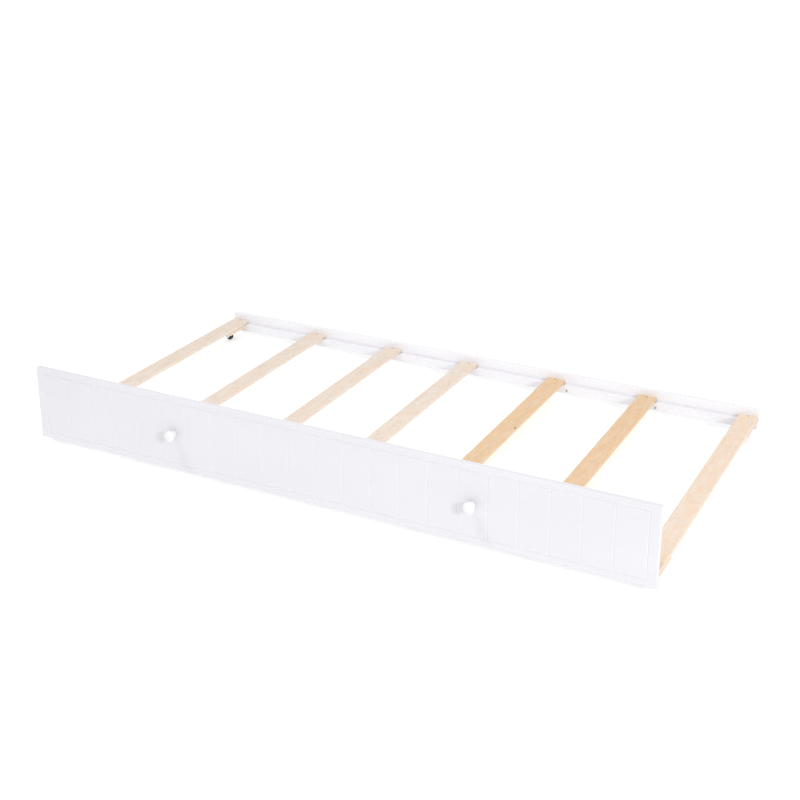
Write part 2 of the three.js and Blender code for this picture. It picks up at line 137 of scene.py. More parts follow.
class Graph:
    """A material and short calls that add its nodes. Inputs are numbers or sockets."""

    def __init__(self, name):
        self.material = bpy.data.materials.new(name)
        self.material.use_nodes = True
        self.tree = self.material.node_tree
        self.shader = self.tree.nodes["Principled BSDF"]
        self.place = self.add("ShaderNodeTexCoord").outputs["Object"]

    def add(self, kind, **settings):
        """A new node, with its settings."""
        node = self.tree.nodes.new(kind)
        for key, value in settings.items():
            setattr(node, key, value)
        return node

    def feed(self, socket, value):
        """Links a socket to another, or sets its value."""
        if isinstance(value, bpy.types.NodeSocket):
            self.tree.links.new(value, socket)
        elif isinstance(value, (tuple, list)) and len(value) == 3 and socket.type == "RGBA":
            socket.default_value = (*value, 1)
        else:
            socket.default_value = value

    def surface(self, **inputs):
        """Sets the shader's own sockets, such as base_color or roughness."""
        names = {s.name.lower().replace(" ", "_"): s for s in self.shader.inputs}
        for key, value in inputs.items():
            self.feed(names[key], value)

    def math(self, operation, a, b=0.0):
        node = self.add("ShaderNodeMath", operation=operation)
        self.feed(node.inputs[0], a)
        if len(node.inputs) > 1:
            self.feed(node.inputs[1], b)
        return node.outputs[0]

    def mix(self, share, a, b, blend="MIX"):
        node = self.add("ShaderNodeMix", data_type="RGBA", blend_type=blend)
        self.feed(node.inputs["Factor"], share)
        self.feed(node.inputs[6], a)
        self.feed(node.inputs[7], b)
        return node.outputs[2]

    def mapped(self, scale, shift=(0, 0, 0)):
        """The place in the piece, stretched for a pattern: a larger scale is a finer one."""
        node = self.add("ShaderNodeMapping")
        self.feed(node.inputs["Vector"], self.place)
        node.inputs["Location"].default_value = shift
        node.inputs["Scale"].default_value = scale
        return node.outputs[0]

    def noise(self, vector, scale=1.0, detail=2.0, roughness=0.5):
        node = self.add("ShaderNodeTexNoise")
        self.feed(node.inputs["Vector"], vector)
        node.inputs["Scale"].default_value = scale
        node.inputs["Detail"].default_value = detail
        node.inputs["Roughness"].default_value = roughness
        return node.outputs["Fac"]

    def cells(self, vector, scale):
        node = self.add("ShaderNodeTexVoronoi")
        self.feed(node.inputs["Vector"], vector)
        node.inputs["Scale"].default_value = scale
        return node

    def steps(self, value, low, high, out_low=0.0, out_high=1.0):
        """A smooth change from out_low to out_high as the value goes from low to high."""
        node = self.add("ShaderNodeMapRange", interpolation_type="SMOOTHSTEP")
        for key, number in (("Value", value), ("From Min", low), ("From Max", high),
                            ("To Min", out_low), ("To Max", out_high)):
            self.feed(node.inputs[key], number)
        return node.outputs[0]

    def ramp(self, value, stops):
        """A grey that goes through (place, grey) stops."""
        node = self.add("ShaderNodeValToRGB")
        self.feed(node.inputs[0], value)
        elements = node.color_ramp.elements
        while len(elements) < len(stops):
            elements.new(0.5)
        for element, (at, grey) in zip(elements, stops):
            element.position = at
            element.color = (grey, grey, grey, 1)
        return node.outputs[0]

    def bump(self, height, depth, strength, under=None):
        """A normal bent by a height, over the bump under it."""
        node = self.add("ShaderNodeBump")
        node.inputs["Strength"].default_value = strength
        node.inputs["Distance"].default_value = depth
        self.feed(node.inputs["Height"], height)
        if under is not None:
            self.feed(node.inputs["Normal"], under)
        return node.outputs[0]

    def attribute(self, name):
        return self.add("ShaderNodeAttribute", attribute_name=name).outputs["Fac"]


# ---- materials -------------------------------------------------------------------

# tones as shares of the paint's colour: its drift, the wood's grain under it, and painted light that
# whitens its creases against the shade in them
DRIFT_TONE, GRAIN_TONE, CREASE_PAINTED_LIGHT = 0.975, 0.93, 1.14

TRUNK_WANDER = (0.055, 0.070)   # metres that a trunk line wanders over, across the board and in depth
KNOT_STRETCH = 0.62             # a knot's size across the grain over its size along it
KNOT_HEART = (0.45, 1.05)       # where its dark heart ends, from solid to none, in knot radii
KNOT_PULL = 1.6                 # how far the rings bend round it, in knot radii
KNOT_PULL_REACH = 3.2           # and how far off they start to
# late wood in one ring's growth, from (share of the ring's width, how dark it is)
RING_STOPS = ((0.0, 0.05), (0.45, 0.15), (0.82, 0.75), (0.92, 1.0), (0.99, 0.10))
BLUSH = (1.02, 0.93, 0.86)      # a patch's warmer tone, as shares of the pale colour
FLECK_TONE, KNOT_TONE = 0.55, 0.30      # as shares of the deep colour

TARNISH_TONE = 0.62
PLASTIC_DUST = (0.20, 0.195, 0.185)
RUBBER_DUST = (0.17, 0.165, 0.155)


def scaled(colour, share):
    return [c * share for c in colour]


def paint(name, colour, grain=0.0, sheen_roughness=0.38):
    """White satin paint: a faint orange peel, a slight drift in tone, rougher in creases and whiter
    there, as painted light that lifts the shade in them.
    Grain is how much the wood's grain along X shows through it."""
    g = Graph(name)
    drift = g.noise(g.mapped((2.2, 6.0, 6.0)), 1.0, 3.0)
    peel = g.noise(g.place, 380.0, 3.0, 0.55)
    brushed = g.noise(g.mapped((7.0, 260.0, 260.0)), 1.0, 3.0, 0.6)
    crease = g.attribute("crease")
    tone = g.mix(g.steps(drift, 0.3, 0.7), colour, scaled(colour, DRIFT_TONE))
    tone = g.mix(g.math("MULTIPLY", brushed, 0.25 * grain), tone, scaled(colour, GRAIN_TONE))
    # painted light: whiter paint in the creases, lifting the shade that falls in them
    tone = g.mix(g.math("MULTIPLY", crease, 0.40), tone, scaled(colour, CREASE_PAINTED_LIGHT))
    rough = g.math("ADD", g.math("MULTIPLY", peel, 0.12), sheen_roughness - 0.06)
    rough = g.math("ADD", rough, g.math("MULTIPLY", crease, 0.15))
    normal = g.bump(peel, 0.10 * MM, 0.22)
    normal = g.bump(brushed, 0.25 * MM, 0.20 * grain, normal)
    g.surface(base_color=tone, roughness=rough, normal=normal)
    return g.material


def wood(name, pale, deep, seed, ring_gap=5.5, ring_share=0.40, trunk=(6, -46), knots=()):
    """Bare sanded wood, its grain along Y. The growth rings are round a trunk line, given by its
    place across and up, which leans and wanders. A knot is its place across, along and up, and its
    radius. Lengths are in mm from the piece's own centre. The seed picks the piece's cut."""
    g = Graph(name)
    spot = (seed * 1.37, seed * 2.11, seed * 0.73)
    split = g.add("ShaderNodeSeparateXYZ")
    g.feed(split.inputs[0], g.place)
    x, y, z = split.outputs

    wander_x = g.math("SUBTRACT", g.noise(g.mapped((2.5, 2.1, 2.5), spot), 1.0, 2.0), 0.5)
    wander_z = g.math("SUBTRACT", g.noise(g.mapped((2.5, 1.6, 2.5), spot[::-1]), 1.0, 2.0), 0.5)
    across = g.math("SUBTRACT", x, trunk[0] * MM)
    across = g.math("ADD", across, g.math("MULTIPLY", wander_x, TRUNK_WANDER[0]))
    depth = g.math("SUBTRACT", z, trunk[1] * MM)
    depth = g.math("ADD", depth, g.math("MULTIPLY", wander_z, TRUNK_WANDER[1]))
    square = g.math("ADD", g.math("MULTIPLY", across, across), g.math("MULTIPLY", depth, depth))
    radius = g.math("SQRT", square)

    heart = 0.0
    for kx, ky, kz, size in knots:
        node = g.add("ShaderNodeVectorMath", operation="DISTANCE")
        g.feed(node.inputs[0], g.mapped((1, KNOT_STRETCH, 1)))
        node.inputs[1].default_value = (kx * MM, ky * KNOT_STRETCH * MM, kz * MM)
        away = node.outputs["Value"]
        near = g.math("DIVIDE", away, size * KNOT_PULL_REACH * MM)
        pull = g.math("EXPONENT", g.math("MULTIPLY", g.math("MULTIPLY", near, near), -1.0))
        radius = g.math("ADD", radius, g.math("MULTIPLY", pull, size * KNOT_PULL * MM))
        solid, gone = (size * share * MM for share in KNOT_HEART)
        heart = g.math("MAXIMUM", heart, g.steps(away, solid, gone, 1.0, 0.0))

    fuzz = g.noise(g.mapped((420, 14, 420), spot), 1.0, 3.0, 0.6)
    fibre = g.noise(g.mapped((1500, 26, 1500), spot), 1.0, 3.0, 0.65)
    ring = g.math("ADD", g.math("DIVIDE", radius, ring_gap * MM), g.math("MULTIPLY", fuzz, 0.30))
    late = g.ramp(g.math("FRACT", ring), RING_STOPS)
    patch = g.noise(g.mapped((50, 17, 50), spot), 1.0, 4.0, 0.60)
    mottle = g.noise(g.mapped((150, 55, 150), spot), 1.0, 3.0, 0.6)
    flecks = g.noise(g.mapped((1250, 95, 1250), spot[::-1]), 1.0, 1.0)

    blush = [c * share for c, share in zip(pale, BLUSH)]
    tone = g.mix(g.steps(patch, 0.40, 0.60), pale, blush)
    tone = g.mix(g.math("MULTIPLY", late, ring_share), tone, deep)
    tone = g.mix(g.steps(mottle, 0.50, 0.68, 0.0, 0.42), tone, deep)
    tone = g.mix(g.steps(fuzz, 0.35, 0.75, 0.0, 0.30), tone, deep)
    tone = g.mix(g.steps(fibre, 0.50, 0.80, 0.0, 0.22), tone, deep)
    tone = g.mix(g.steps(flecks, 0.66, 0.76, 0.0, 0.45), tone, scaled(deep, FLECK_TONE))
    tone = g.mix(g.math("MULTIPLY", heart, 0.92), tone, scaled(deep, KNOT_TONE))
    rough = g.steps(fibre, 0.25, 0.80, 0.50, 0.68)
    normal = g.bump(fibre, 0.20 * MM, 0.35)
    normal = g.bump(late, 0.12 * MM, 0.30, normal)
    g.surface(base_color=tone, roughness=rough, normal=normal)
    return g.material


def zinc(name, colour, rough_low, rough_high):
    """Bright plated steel: crystal patches in the plate, fine rolling lines, dull spots."""
    g = Graph(name)
    crystal = g.cells(g.place, 420.0).outputs["Color"]
    lines = g.noise(g.mapped((140, 2600, 2600)), 1.0, 2.0)
    dull = g.noise(g.place, 160.0, 4.0, 0.6)
    tone = g.mix(0.10, colour, crystal, "MULTIPLY")
    tone = g.mix(g.steps(dull, 0.52, 0.72, 0.0, 0.45), tone, scaled(colour, TARNISH_TONE))
    rough = g.steps(dull, 0.35, 0.70, rough_low, rough_high)
    normal = g.bump(lines, 0.05 * MM, 0.20)
    g.surface(base_color=tone, roughness=rough, metallic=1.0, normal=normal)
    return g.material


def plastic(name, colour):
    """Moulded plastic: a fine matt grain, with dust in it."""
    g = Graph(name)
    grain = g.noise(g.place, 2400.0, 2.0)
    dust = g.noise(g.place, 190.0, 4.0, 0.65)
    tone = g.mix(g.steps(dust, 0.50, 0.78, 0.0, 0.30), colour, PLASTIC_DUST)
    rough = g.steps(dust, 0.35, 0.70, 0.38, 0.60)
    g.surface(base_color=tone, roughness=rough, normal=g.bump(grain, 0.04 * MM, 0.30))
    return g.material


def rubber(name, colour):
    """Black rubber: matt, a little scuffed, with pale dust."""
    g = Graph(name)
    scuff = g.noise(g.mapped((260, 900, 260)), 1.0, 4.0, 0.65)
    dust = g.noise(g.place, 130.0, 4.0, 0.6)
    tone = g.mix(g.steps(dust, 0.48, 0.80, 0.0, 0.35), colour, RUBBER_DUST)
    rough = g.steps(scuff, 0.30, 0.75, 0.62, 0.88)
    g.surface(base_color=tone, roughness=rough, normal=g.bump(scuff, 0.08 * MM, 0.35))
    return g.material


def floor_material():
    """A pale matt floor that is a little bright by itself, with hardly any cloud in it."""
    g = Graph("studio_floor")
    cloud = g.noise(g.place, 0.8, 3.0)
    tone = g.mix(g.steps(cloud, 0.3, 0.7, 0.0, 0.5), FLOOR_COLOUR, scaled(FLOOR_COLOUR, 0.992))
    g.surface(base_color=tone, roughness=0.9, specular_ior_level=0.1,
              emission_color=(1, 1, 1), emission_strength=FLOOR_GLOW)
    return g.material


# one white paint in four tones, each set to the light on its part as painted light and shade: the
# rail lightest, the cleats greyer, the knobs darker to show their shading, the panel darkest
PANEL_PAINT = paint("panel_paint", (0.671, 0.664, 0.696))
RAIL_PAINT = paint("rail_paint", (0.765, 0.760, 0.785), grain=0.5)
CLEAT_PAINT = paint("cleat_paint", (0.710, 0.706, 0.735), grain=0.5)
KNOB_PAINT = paint("knob_paint", (0.742, 0.735, 0.757), sheen_roughness=0.30)
ZINC = zinc("bright_zinc", (0.60, 0.61, 0.63), 0.22, 0.45)
SCREW_STEEL = zinc("screw_steel", (0.42, 0.40, 0.37), 0.28, 0.50)
HUB_PLASTIC = plastic("hub_plastic", (0.020, 0.020, 0.022))
TYRE_RUBBER = rubber("tyre_rubber", (0.012, 0.012, 0.013))

PALE, PALE_DEEP = (0.715, 0.640, 0.570), (0.550, 0.455, 0.365)
PINE, PINE_DEEP = (0.695, 0.522, 0.352), (0.550, 0.365, 0.205)
HONEY, HONEY_DEEP = (0.740, 0.630, 0.530), (0.600, 0.470, 0.360)

# from the left: each slat's colours, its trunk line, how strongly its rings show, and its knots
BLOCK_WOOD_SEED = 11            # the caster blocks' cuts come after the slats'
SLAT_LOOKS = (
    dict(pale=PALE, deep=PALE_DEEP, trunk=(4, -60), ring_share=0.26),
    dict(pale=PALE, deep=PALE_DEEP, trunk=(-14, -48), ring_share=0.30,
         knots=((4, 449, 4, 2.6), (-9, 432, 6, 1.8))),
    dict(pale=PALE, deep=PALE_DEEP, trunk=(10, -55), ring_share=0.28,
         knots=((-3, 293, 5, 2.4), (8, 262, 6, 1.6))),
    dict(pale=PALE, deep=PALE_DEEP, trunk=(-6, -70), ring_share=0.24,
         knots=((18, 308, 5, 2.4), (12, 330, 6, 1.6))),
    dict(pale=PINE, deep=PINE_DEEP, trunk=(16, -40), ring_share=0.34,
         knots=((26, 97, 5, 4.2),)),
    dict(pale=PINE, deep=PINE_DEEP, trunk=(-18, -52), ring_share=0.30),
    dict(pale=HONEY, deep=HONEY_DEEP, trunk=(7, -110), ring_share=0.20),
)


# ---- mesh helpers ----------------------------------------------------------------

EDGE_STEPS, END_STEPS = 3, 2    # facets across a board's rounded long edges, and across its ends
SHARP_ANGLE = math.radians(38)
ON_AXIS = 1e-6                  # mm
ALONG_Y = Matrix.Rotation(math.radians(90), 4, "X")     # lays a piece made about Z along Y


def to_mesh(bm, name, sharp=SHARP_ANGLE):
    """A mesh shaded smooth, apart from edges sharper than the angle."""
    bmesh.ops.recalc_face_normals(bm, faces=bm.faces[:])
    mesh = bpy.data.meshes.new(name)
    bm.to_mesh(mesh)
    bm.free()
    mesh.shade_smooth()
    mesh.set_sharp_from_angle(angle=sharp)
    return mesh


def block(size, rounding, end_rounding=None, long_axis=1):
    """A board about its own centre: its long edges rounded, then the edges of its ends."""
    bm = bmesh.new()
    bmesh.ops.create_cube(bm, size=1)
    bmesh.ops.scale(bm, vec=size, verts=bm.verts)

    def is_long(edge):
        run = edge.verts[0].co - edge.verts[1].co
        return abs(run[long_axis]) > 0.5 * size[long_axis]

    bmesh.ops.bevel(bm, geom=[e for e in bm.edges if is_long(e)], offset=rounding,
                    segments=EDGE_STEPS, profile=0.5, affect="EDGES", clamp_overlap=True)
    ends = [e for e in bm.edges if not is_long(e)]
    bmesh.ops.bevel(bm, geom=ends, offset=rounding if end_rounding is None else end_rounding,
                    segments=END_STEPS, profile=0.5, affect="EDGES", clamp_overlap=True)
    return bm


def turned(bm, outline, sides, turn=Matrix.Identity(4)):
    """Adds a closed round piece from (radius, height) points, both in mm, about Z. The points
    run from the axis back to it, or, for a piece with a hole through it, once round its section."""
    spokes = [math.tau * k / sides for k in range(sides)]
    rings = []
    for radius, height in outline:
        if radius < ON_AXIS:
            places = [(0, 0, height * MM)]
        else:
            places = [(radius * math.cos(a) * MM, radius * math.sin(a) * MM, height * MM)
                      for a in spokes]
        rings.append([bm.verts.new(turn @ Vector(place)) for place in places])
    has_hole = len(rings[0]) > 1
    for low, high in zip(rings, rings[1:] + rings[:1] if has_hole else rings[1:]):
        for k in range(sides):
            loop = [low[k % len(low)], low[(k + 1) % len(low)],
                    high[(k + 1) % len(high)], high[k % len(high)]]
            corners = list(dict.fromkeys(loop))
            if len(corners) > 2:
                bm.faces.new(corners)


def rounded(points, radius, steps=4):
    """The same outline with its corners rounded, but for its first and last points. The radius
    is one number, or a list with one for each point."""
    result = [points[0]]
    for i in range(1, len(points) - 1):
        before, at, after = (Vector(points[j]) for j in (i - 1, i, i + 1))
        reach = radius[i] if isinstance(radius, list) else radius
        reach = min(reach, 0.48 * (before - at).length, 0.48 * (after - at).length)
        start = at + (before - at).normalized() * reach
        end = at + (after - at).normalized() * reach
        for k in range(steps + 1):
            t = k / steps
            result.append(tuple(start * (1 - t) ** 2 + at * 2 * t * (1 - t) + end * t ** 2))
    result.append(points[-1])
    return result


def plate(bm, outline, low, high, ease=0.25, turn=Matrix.Identity(4)):
    """Adds a flat plate: an outline in X and Y, between two heights, with eased edges, in mm."""
    centre = sum((Vector(p) for p in outline), Vector((0, 0))) / len(outline)

    def ring(height, inset):
        points = []
        for p in outline:
            away = Vector(p) - centre
            q = Vector(p) - away.normalized() * inset
            points.append(bm.verts.new(turn @ Vector((q.x * MM, q.y * MM, height * MM))))
        return points

    rings = [ring(low, ease), ring(low + 0.3 * ease, 0.3 * ease), ring(low + ease, 0),
             ring(high - ease, 0), ring(high - 0.3 * ease, 0.3 * ease), ring(high, ease)]
    count = len(outline)
    for a, b in zip(rings, rings[1:]):
        for k in range(count):
            bm.faces.new((a[k], a[(k + 1) % count], b[(k + 1) % count], b[k]))
    bm.faces.new(rings[0][::-1])
    bm.faces.new(rings[-1])


def apply_modifiers(obj):
    """Puts what the object's modifiers do into its mesh."""
    graph = bpy.context.evaluated_depsgraph_get()
    mesh = bpy.data.meshes.new_from_object(obj.evaluated_get(graph))
    mesh.name = obj.name
    obj.modifiers.clear()
    obj.data = mesh


def subtract(obj, cutters):
    """Cuts the cutters' mesh out of an object, and removes them."""
    tool_mesh = to_mesh(cutters, obj.name + "_cutter")
    tool = bpy.data.objects.new(obj.name + "_cutter", tool_mesh)
    tool.location = obj.location
    scene.collection.objects.link(tool)
    cut = obj.modifiers.new("sockets", "BOOLEAN")
    cut.operation = "DIFFERENCE"
    cut.solver = "MANIFOLD"
    cut.object = tool
    bpy.context.view_layer.update()
    apply_modifiers(obj)
    bpy.data.objects.remove(tool)
    bpy.data.meshes.remove(tool_mesh)


def even_shading(obj):
    """Keeps flat faces flat beside their rounded edges."""
    weights = obj.modifiers.new("even_shading", "WEIGHTED_NORMAL")
    weights.mode = "FACE_AREA"
    weights.weight = 50
    weights.keep_sharp = True
    apply_modifiers(obj)


def make(name, mesh, material, place=(0, 0, 0)):
    """A new object of one material."""
    mesh.materials.clear()
    mesh.materials.append(material)
    obj = bpy.data.objects.new(name, mesh)
    obj.location = place
    scene.collection.objects.link(obj)
    bpy.context.view_layer.update()
    return obj


def settle(obj, slot, body, *nodes):
    """Says what the piece rides on and the CAD nodes that it stands for; its finish, the slot, is not
    used.
    """
    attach(obj, body)
    if nodes:
        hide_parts(*nodes)
    return obj


def middle(node):
    """The centre of a CAD node's box, in metres."""
    low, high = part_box(node)
    return (low + high) / 2


def extent(node):
    """The sizes of a CAD node's box, in metres."""
    low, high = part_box(node)
    return high - low


# ---- front panel -----------------------------------------------------------------

PLANK_COUNT = 22
BORDER_SIDE = 27 * MM           # panel's end to the border groove
BORDER_TOP = 19 * MM            # panel's top or bottom to the border groove
BORDER_GROOVE = (4.4 * MM, 1.6 * MM)    # width and depth
PLANK_GROOVE = (3.8 * MM, 1.3 * MM)
PANEL_ROUNDING = 1.3 * MM
PANEL_ROUNDING_STEPS = 4
# mesh lines beside a groove's middle, in halves of its width
GROOVE_STEPS = (0, 0.12, 0.28, 0.5, 0.7, 0.85, 0.95, 1.05, 1.18, 1.4)
GROOVE_BLUNT = 0.14             # roundness of a groove's bottom and shoulders
PANEL_SHARP_ANGLE = math.radians(60)
SAME_PLACE = 0.001 * MM


def groove_depth(distance, groove):
    """Depth of a routed V groove at a distance from its centre line."""
    width, depth = groove
    t = distance / (width / 2)
    wall = 1 + GROOVE_BLUNT - math.sqrt(t * t + GROOVE_BLUNT ** 2)
    if wall < -3 * GROOVE_BLUNT:
        return 0.0
    return depth * 0.5 * (wall + math.sqrt(wall * wall + 0.25 * GROOVE_BLUNT ** 2))


def edge_depth(distance):
    """How far a rounded edge falls back at a distance from the panel's outline."""
    if distance >= PANEL_ROUNDING:
        return 0.0
    gap = PANEL_ROUNDING - distance
    return PANEL_ROUNDING - math.sqrt(PANEL_ROUNDING ** 2 - gap * gap)


def breaks(length, lines):
    """Sorted places along one side of the panel: finer at its edges and at groove lines."""
    places = [0, length]
    for k in range(1, PANEL_ROUNDING_STEPS + 1):
        turn = math.radians(90 * k / PANEL_ROUNDING_STEPS)
        inset = PANEL_ROUNDING * (1 - math.cos(turn))
        places += [inset, length - inset]
    for line, groove in lines:
        for step in GROOVE_STEPS:
            places += [line - step * groove[0] / 2, line + step * groove[0] / 2]
    places.sort()
    return [p for i, p in enumerate(places) if i == 0 or p - places[i - 1] > SAME_PLACE]


def front_panel():
    """The panel: a front sheet of points with the grooves routed in, a plain back and its rim."""
    length, thickness, height = extent("front_panel")
    field_width = length - 2 * BORDER_SIDE
    plank_lines = [BORDER_SIDE + field_width * k / PLANK_COUNT for k in range(1, PLANK_COUNT)]
    xs = breaks(length, [(BORDER_SIDE, BORDER_GROOVE), (length - BORDER_SIDE, BORDER_GROOVE)]
                + [(line, PLANK_GROOVE) for line in plank_lines])
    zs = breaks(height, [(BORDER_TOP, BORDER_GROOVE), (height - BORDER_TOP, BORDER_GROOVE)])

    def routed(x, z):
        """Depth of the grooves at a place on the front."""
        from_side = min(x, length - x) - BORDER_SIDE
        from_top = min(z, height - z) - BORDER_TOP
        inside = from_side >= 0 and from_top >= 0
        border = abs(min(from_side, from_top)) if inside else max(-from_side, -from_top, 0)
        depth = groove_depth(border, BORDER_GROOVE)
        if inside:
            nearest = min(abs(x - line) for line in plank_lines)
            depth = max(depth, groove_depth(nearest, PLANK_GROOVE))
        return depth

    bm = bmesh.new()
    # the grooves' depth at each point: the paint makes creases rougher by it, and whiter by it as
    # painted light
    crease = bm.verts.layers.float.new("crease")
    centre = Vector((length / 2, thickness / 2, height / 2))

    def sheet(is_front):
        """Rows of points from the bottom up, joined by faces."""
        rows = []
        for z in zs:
            row = []
            for x in xs:
                rim = edge_depth(min(x, length - x, z, height - z))
                cut = routed(x, z) if is_front else 0.0
                y = rim + cut if is_front else thickness - rim
                vert = bm.verts.new(Vector((x, y, z)) - centre)
                vert[crease] = min(1.0, cut / PLANK_GROOVE[1])
                row.append(vert)
            rows.append(row)
        for a, b in zip(rows, rows[1:]):
            for i in range(len(xs) - 1):
                bm.faces.new((a[i], a[i + 1], b[i + 1], b[i]))
        return rows

    front, back = sheet(True), sheet(False)
    outline = [(0, i) for i in range(len(xs))] + [(j, len(xs) - 1) for j in range(1, len(zs))]
    outline += [(len(zs) - 1, i) for i in range(len(xs) - 2, -1, -1)]
    outline += [(j, 0) for j in range(len(zs) - 2, 0, -1)]
    for (j, i), (m, n) in zip(outline, outline[1:] + outline[:1]):
        bm.faces.new((front[j][i], front[m][n], back[m][n], back[j][i]))
    mesh = to_mesh(bm, "panel", PANEL_SHARP_ANGLE)
    panel = make("panel", mesh, PANEL_PAINT, middle("front_panel"))
    even_shading(panel)
    settle(panel, "white_paint", "frame", "front_panel")


# ---- screws ----------------------------------------------------------------------

SCREW_SIDES = 40
SLAT_SCREW_HEAD, SLAT_SCREW_SHANK, SLAT_SCREW_LENGTH = 7.0, 3.5, 30.0
THREAD_PITCH, THREAD_ROOT = 1.6, 0.8    # and the root's radius over the shank's
SCREW_TIP, PLAIN_SHANK = 4.0, 5.0       # length of its point, and where its thread stops
SLAT_SCREW_CROSS = (3.6, 2.2)   # width and depth
PULL_SCREW_CROSS = (4.6, 1.6)
CROSS_PROUD = 0.6               # how far the cutter stands out of the head
CLEAT_SCREW_LENGTH = 26.0
CLEAT_SCREW_ASIDE = (8, -8, -8, -8, 43, 31, -8)     # each one's place beside a slat's middle
CLEAT_SCREW_HEIGHT = 9.0        # above the cleat's bottom
SCREW_SINK = 0.6                # a screw's head below the wood's face
FIT = 0.3                       # gap round a screw in its socket
SOCKET_DEPTH, SOCKET_PROUD = 40.0, 5.0


def cross_cut(obj, width, depth):
    """Cuts a cross recess in a screw's head, with each pair of wings taken out in turn."""
    top, foot, half = width / 2, width / 5, width / 9
    for quarter in (0, 90):
        spin = Matrix.Rotation(math.radians(quarter), 4, "Z")
        bm = bmesh.new()
        corners = []
        for z, reach, thick in ((CROSS_PROUD, top * 1.15, half), (-depth, foot, half * 0.6)):
            for sx, sy in ((-1, -1), (1, -1), (1, 1), (-1, 1)):
                corners.append(bm.verts.new(spin @ (Vector((sx * reach, sy * thick, z)) * MM)))
        bm.faces.new(corners[:4][::-1])
        bm.faces.new(corners[4:])
        for k in range(4):
            j = (k + 1) % 4
            bm.faces.new((corners[k], corners[j], corners[j + 4], corners[k + 4]))
        subtract(obj, bm)


def countersunk_mesh(name, length, material):
    """A countersunk screw with a cross recess, its head's top at z = 0, pointing down."""
    head, shank = SLAT_SCREW_HEAD / 2, SLAT_SCREW_SHANK / 2
    neck = shank - head
    root = shank * THREAD_ROOT
    outline = [(0, -length), (root, -length + SCREW_TIP)]
    for k in range(int((length - 2 * SCREW_TIP) / THREAD_PITCH)):
        z = -length + SCREW_TIP + THREAD_PITCH * k
        outline += [(shank, z + 0.5), (root, z + 1.3)]
    outline += [(shank, -PLAIN_SHANK), (shank, neck), (head - 0.12, -0.30), (head, -0.15),
                (head - 0.15, 0), (head * 0.6, 0.0), (0, 0)]
    bm = bmesh.new()
    turned(bm, outline, SCREW_SIDES)
    screw = make(name, to_mesh(bm, name), material)
    cross_cut(screw, *SLAT_SCREW_CROSS)
    mesh = screw.data
    bpy.data.objects.remove(screw)
    mesh.set_sharp_from_angle(angle=SHARP_ANGLE)
    return mesh


def countersink(bm, place, turn=Matrix.Identity(4)):
    """Adds the socket that a countersunk screw sits in, its mouth at a place, in metres."""
    head, shank = SLAT_SCREW_HEAD / 2 + FIT, SLAT_SCREW_SHANK / 2 + FIT
    depth = SCREW_SINK + (SLAT_SCREW_HEAD - SLAT_SCREW_SHANK) / 2
    outline = [(0, -SOCKET_DEPTH), (shank, -SOCKET_DEPTH), (shank, -depth), (head, -SCREW_SINK),
               (head + 0.1, SOCKET_PROUD), (0, SOCKET_PROUD)]
    turned(bm, outline, SCREW_SIDES, Matrix.Translation(place) @ turn)


# ---- rail and cleats -------------------------------------------------------------

RAIL_ROUNDING = 1.2 * MM        # of the cleats and the caster blocks too


def rail():
    bm = block(extent("rear_rail"), RAIL_ROUNDING, long_axis=0)
    obj = make("rail", to_mesh(bm, "rail"), RAIL_PAINT, middle("rear_rail"))
    even_shading(obj)
    settle(obj, "white_paint", "frame", "rear_rail")


def cleat(name, node, facing):
    """A cleat with the row of screws that holds it to the panel or the rail behind it. Facing is
    1 where the heads show from the front, and -1 where they show from the back."""
    size, centre = extent(node), middle(node)
    obj = make(name, to_mesh(block(size, RAIL_ROUNDING, long_axis=0), name), CLEAT_PAINT, centre)
    turn = Matrix.Rotation(math.radians(90 * facing), 4, "X")
    sockets = bmesh.new()
    spots = []
    for number, aside in enumerate(CLEAT_SCREW_ASIDE, 1):
        x = middle(f"slat_{number}").x + aside * MM
        spots.append(Vector((x, -facing * size.y / 2, CLEAT_SCREW_HEIGHT * MM - size.z / 2)))
        countersink(sockets, spots[-1], turn)
    subtract(obj, sockets)
    even_shading(obj)
    settle(obj, "white_paint", "frame", node)
    for number, spot in enumerate(spots, 1):
        sunk = centre + spot + Vector((0, facing * SCREW_SINK * MM, 0))
        screw = make(f"{name}_screw_{number}", CLEAT_SCREW, SCREW_STEEL, sunk)
        screw.rotation_euler = (math.radians(90 * facing), 0, 0)
        bpy.context.view_layer.update()
        settle(screw, "screw_steel", "frame")


# ---- slats -----------------------------------------------------------------------

SLAT_ROUNDING = 2.0 * MM
BOARD_END_ROUNDING = 0.4 * MM   # a sawn end, of a slat or a caster block
# how far round each screw was left, in radians: more by the slat, and some more at its rear end
SCREW_TURN, REAR_SCREW_TURN = 0.9, 0.5


def slat(number, looks):
    """A slat and the screw in each of its ends."""
    node = f"slat_{number}"
    size, centre = extent(node), middle(node)
    obj = make(f"board_{number}", to_mesh(block(size, SLAT_ROUNDING, BOARD_END_ROUNDING), node),
               wood(f"slat_wood_{number}", seed=number, **looks), centre)
    screw_nodes = {end: f"slat_screw_{end}_{number}" for end in ("front", "rear")}
    sockets = bmesh.new()
    for screw_node in screw_nodes.values():
        place = middle(screw_node) - centre
        place.z = size.z / 2
        countersink(sockets, place)
    subtract(obj, sockets)
    even_shading(obj)
    settle(obj, "slat_wood", "frame", node)
    for end, screw_node in screw_nodes.items():
        place = middle(screw_node)
        place.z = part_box(screw_node)[1].z
        screw = make(f"screw_{end}_{number}", SLAT_SCREW, SCREW_STEEL, place)
        screw.rotation_euler.z = SCREW_TURN * number + (REAR_SCREW_TURN if end == "rear" else 0)
        bpy.context.view_layer.update()
        settle(screw, "screw_steel", "frame", screw_node)


# ---- knobs -----------------------------------------------------------------------

KNOB_SIDES = 96
KNOB_NECK = 14.0
KNOB_FOOT = 20.0
PULL_SCREW_DOME, PULL_SCREW_SHANK = 2.6, 2.0    # its head's height, and its radius


def back_of(node):
    """The middle of a CAD node's rear face."""
    place = middle(node)
    place.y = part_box(node)[1].y
    return place


